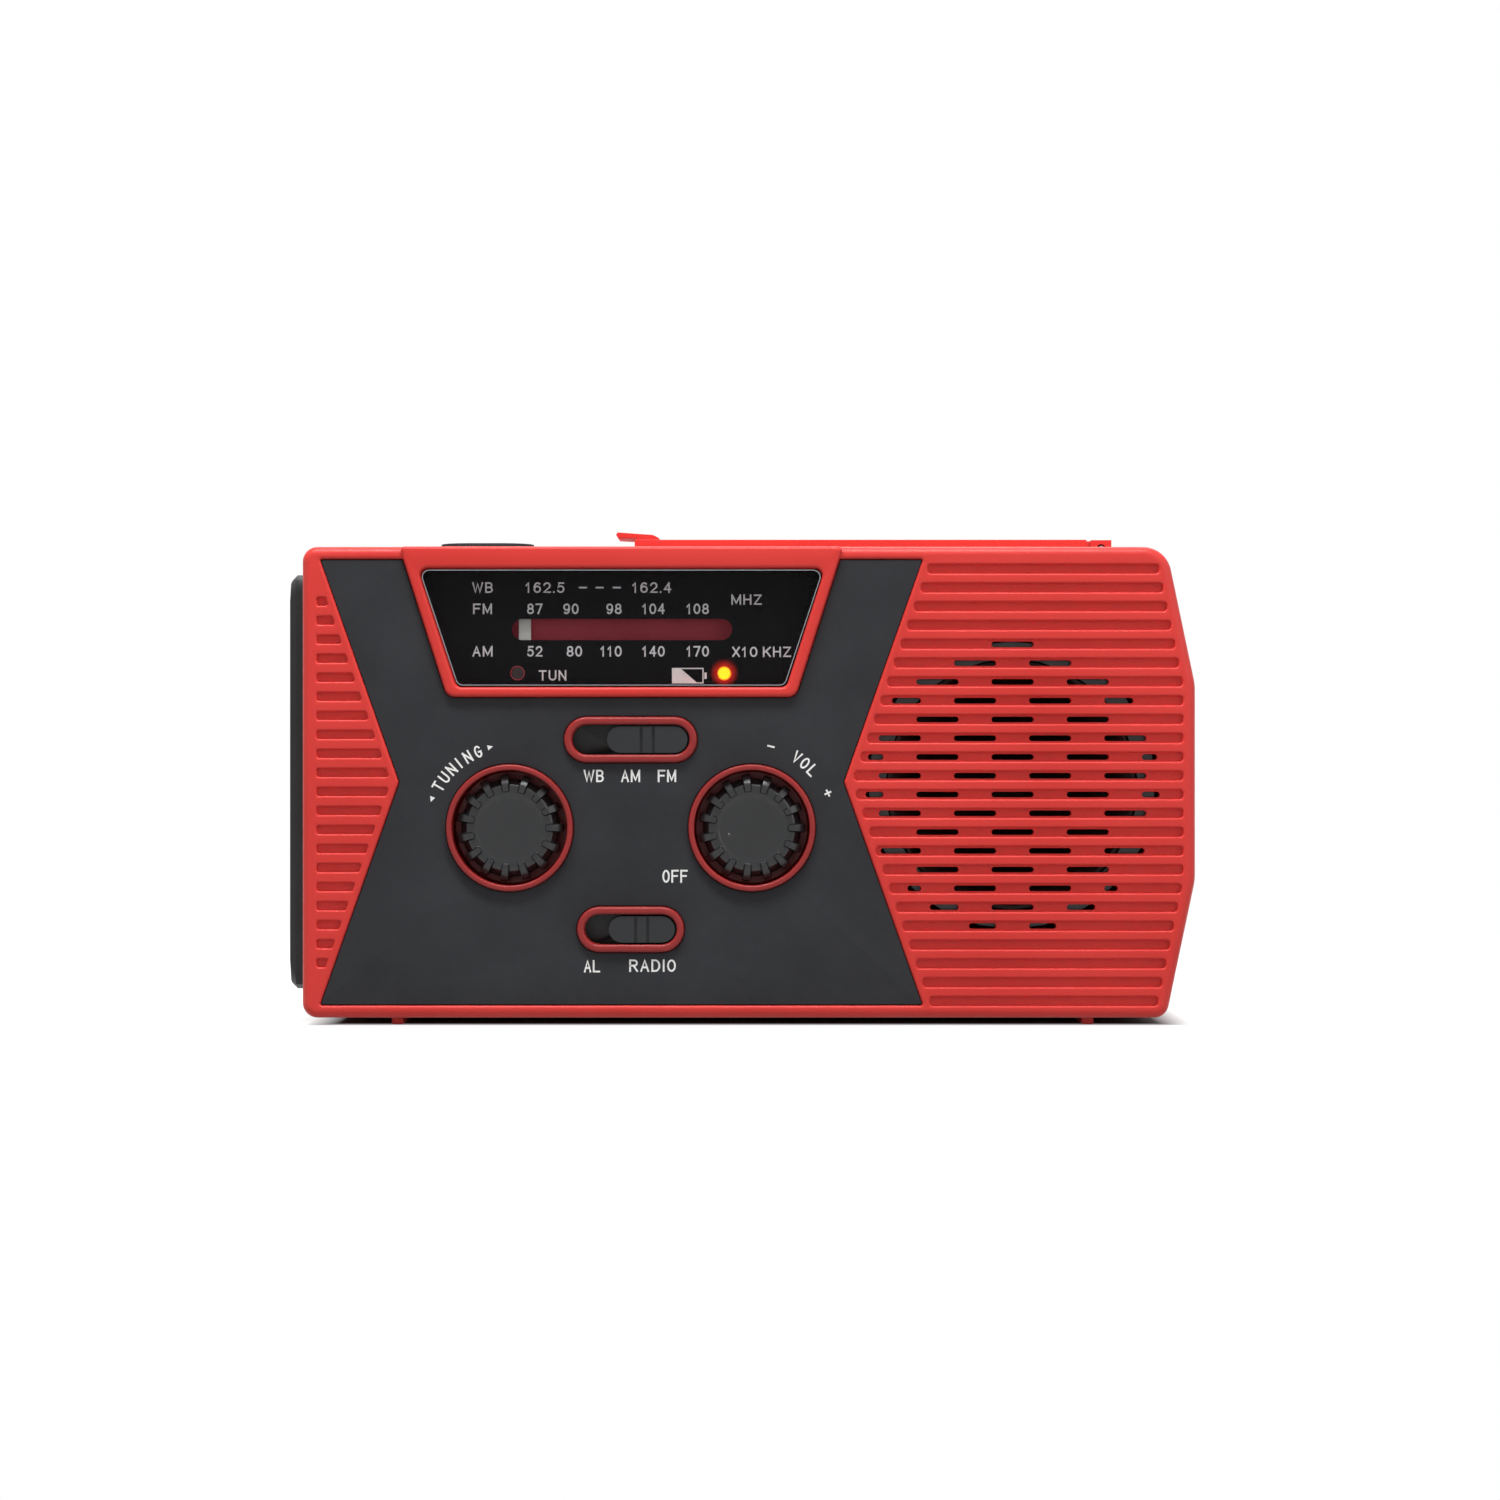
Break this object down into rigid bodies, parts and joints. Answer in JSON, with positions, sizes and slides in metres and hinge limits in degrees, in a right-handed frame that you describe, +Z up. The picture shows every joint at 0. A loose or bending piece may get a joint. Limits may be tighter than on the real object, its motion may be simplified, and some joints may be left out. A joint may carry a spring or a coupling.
{
  "type": "hand crank weather radio",
  "caption": "Portable radio with slanted right end, tuning dial, ribbed knobs, slide switches, solar lid, end torch, rear crank generator and telescopic antenna.",
  "frame": {"origin": "centre of the bounding box in X and Y, on the surface that the radio's feet stand on", "axes": "+X to the right as seen from the front, towards the speaker; +Y away from the viewer, out of the rear face; +Z up; the dial faces -Y"},
  "size_m": [0.158, 0.0558, 0.0866],
  "materials": {
    "red_plastic": "satin",
    "dark_red_plastic": "matte",
    "charcoal_plastic": "fine matte",
    "black_plastic": "satin",
    "knob_plastic": "satin",
    "window_plastic": "polished",
    "clear_plastic": "polished",
    "white_plastic": "satin",
    "nylon": "satin",
    "black_rubber": "matte",
    "black_cord": "braided",
    "speaker_paper": "matte",
    "ferrite": "matte",
    "copper_winding": "lacquered",
    "board": "lacquered",
    "solar_glass": "polished",
    "cell_sleeve": "satin",
    "red_light": "polished",
    "amber_light": "polished",
    "steel": "brushed",
    "brass": "satin",
    "chrome": "polished"
  },
  "bodies": {
    "case": {"front_case": "red_plastic", "front_panel": "charcoal_plastic", "dial_window": "window_plastic", "dial_mask": "black_plastic", "dial_backing": "dark_red_plastic", "dial_cord": "black_cord", "tuning_capacitor": "nylon", "volume_control": "steel", "band_switch_body": "steel", "function_switch_body": "steel", "speaker_frame": "steel", "speaker_cone": "speaker_paper", "speaker_magnet": "steel", "main_board": "board", "tuning_led": "red_light", "charge_led": "amber_light", "ferrite_rod": "ferrite", "ferrite_coil": "copper_winding", "lid_tray": "red_plastic", "lid_hinge_pin": "steel", "top_button_switch": "black_plastic", "torch_bezel": "black_plastic", "torch_lens": "clear_plastic", "torch_reflector": "chrome", "torch_led": "white_plastic", "rear_case": "red_plastic", "battery_cell": "cell_sleeve", "case_screw_1": "steel", "case_screw_2": "steel", "case_screw_3": "steel", "case_screw_4": "steel", "compound_gear_axle": "steel", "generator_housing": "steel", "gearbox_plate": "steel", "port_sockets": "black_plastic"},
    "tuning_control": {"tuning_knob": "knob_plastic", "dial_drum": "nylon"},
    "pointer": {"dial_pointer": "white_plastic"},
    "volume_spindle": {"volume_knob": "knob_plastic", "volume_shaft": "steel"},
    "band_slider": {"band_switch_button": "knob_plastic"},
    "function_slider": {"function_switch_button": "knob_plastic"},
    "lid": {"solar_lid": "red_plastic", "solar_cell": "solar_glass", "reading_lamp": "white_plastic"},
    "push_button": {"top_button": "black_rubber"},
    "crank": {"crank_arm": "black_plastic", "crank_shaft": "steel", "drive_gear": "nylon", "grip_pin": "steel"},
    "grip_fork": {"crank_grip_yoke": "steel"},
    "grip": {"crank_grip": "black_plastic"},
    "middle_gear": {"compound_gear": "nylon"},
    "rotor": {"generator_rotor": "brass"},
    "antenna": {"antenna_base": "chrome", "antenna_tube_1": "chrome"},
    "antenna_middle": {"antenna_tube_2": "chrome"},
    "antenna_inner": {"antenna_tube_3": "chrome"},
    "port_flap": {"port_cover": "black_rubber"},
    "cell_door": {"battery_door": "red_plastic"}
  },
  "joints": [
    {"name": "tuning_knob_turn", "type": "hinge", "parent": "case", "child": "tuning_control", "pos_m": [-0.04, -0.02, 0.0343], "axis": [0, 1, 0], "range_deg": [0, 270]},
    {"name": "dial_pointer_slide", "type": "slide", "parent": "case", "child": "pointer", "axis": [1, 0, 0], "range_m": [0, 0.034]},
    {"name": "volume_knob_turn", "type": "hinge", "parent": "case", "child": "volume_spindle", "pos_m": [0.002, -0.02, 0.0343], "axis": [0, 1, 0], "range_deg": [0, 280]},
    {"name": "band_switch_slide", "type": "slide", "parent": "case", "child": "band_slider", "axis": [1, 0, 0], "range_m": [-0.0058, 0]},
    {"name": "function_switch_slide", "type": "slide", "parent": "case", "child": "function_slider", "axis": [1, 0, 0], "range_m": [-0.0039, 0]},
    {"name": "lid_open", "type": "hinge", "parent": "case", "child": "lid", "pos_m": [0.0636, -0.00405, 0.0833], "axis": [0, 1, 0], "range_deg": [0, 105]},
    {"name": "top_button_press", "type": "slide", "parent": "case", "child": "push_button", "axis": [0, 0, -1], "range_m": [0, 0.001], "stiffness_N_per_m": 500},
    {"name": "crank_turn", "type": "hinge", "parent": "case", "child": "crank", "pos_m": [0.0215, 0.0196, 0.046], "axis": [0, 1, 0], "continuous": true},
    {"name": "middle_gear_turn", "type": "hinge", "parent": "case", "child": "middle_gear", "pos_m": [0.0005, 0.0075, 0.046], "axis": [0, 1, 0], "continuous": true},
    {"name": "rotor_turn", "type": "hinge", "parent": "case", "child": "rotor", "pos_m": [-0.01732, 0, 0.05508], "axis": [0, 1, 0], "continuous": true},
    {"name": "crank_grip_fold", "type": "hinge", "parent": "crank", "child": "grip_fork", "pos_m": [-0.0145, 0.02385, 0.046], "axis": [0, 0, 1], "range_deg": [0, 90]},
    {"name": "crank_grip_spin", "type": "hinge", "parent": "grip_fork", "child": "grip", "pos_m": [0, 0.02385, 0.046], "axis": [1, 0, 0], "continuous": true},
    {"name": "antenna_lift", "type": "hinge", "parent": "case", "child": "antenna", "pos_m": [0.0705, 0.01515, 0.08], "axis": [0, 1, 0], "range_deg": [0, 135]},
    {"name": "antenna_middle_slide", "type": "slide", "parent": "antenna", "child": "antenna_middle", "axis": [1, 0, 0], "range_m": [-0.105, 0]},
    {"name": "antenna_inner_slide", "type": "slide", "parent": "antenna_middle", "child": "antenna_inner", "axis": [1, 0, 0], "range_m": [-0.105, 0]},
    {"name": "port_cover_open", "type": "hinge", "parent": "case", "child": "port_flap", "pos_m": [-0.047, 0.0182, 0.05285], "axis": [-1, 0, 0], "range_deg": [0, 95]},
    {"name": "battery_door_pull", "type": "slide", "parent": "case", "child": "cell_door", "axis": [0, 1, 0], "range_m": [0, 0.012]}
  ],
  "couplings": [
    {"joint": "dial_pointer_slide", "follows": "tuning_knob_turn", "m_per_rad": 0.007215},
    {"joint": "middle_gear_turn", "follows": "crank_turn", "ratio": -3.2},
    {"joint": "rotor_turn", "follows": "crank_turn", "ratio": 9.6}
  ]
}
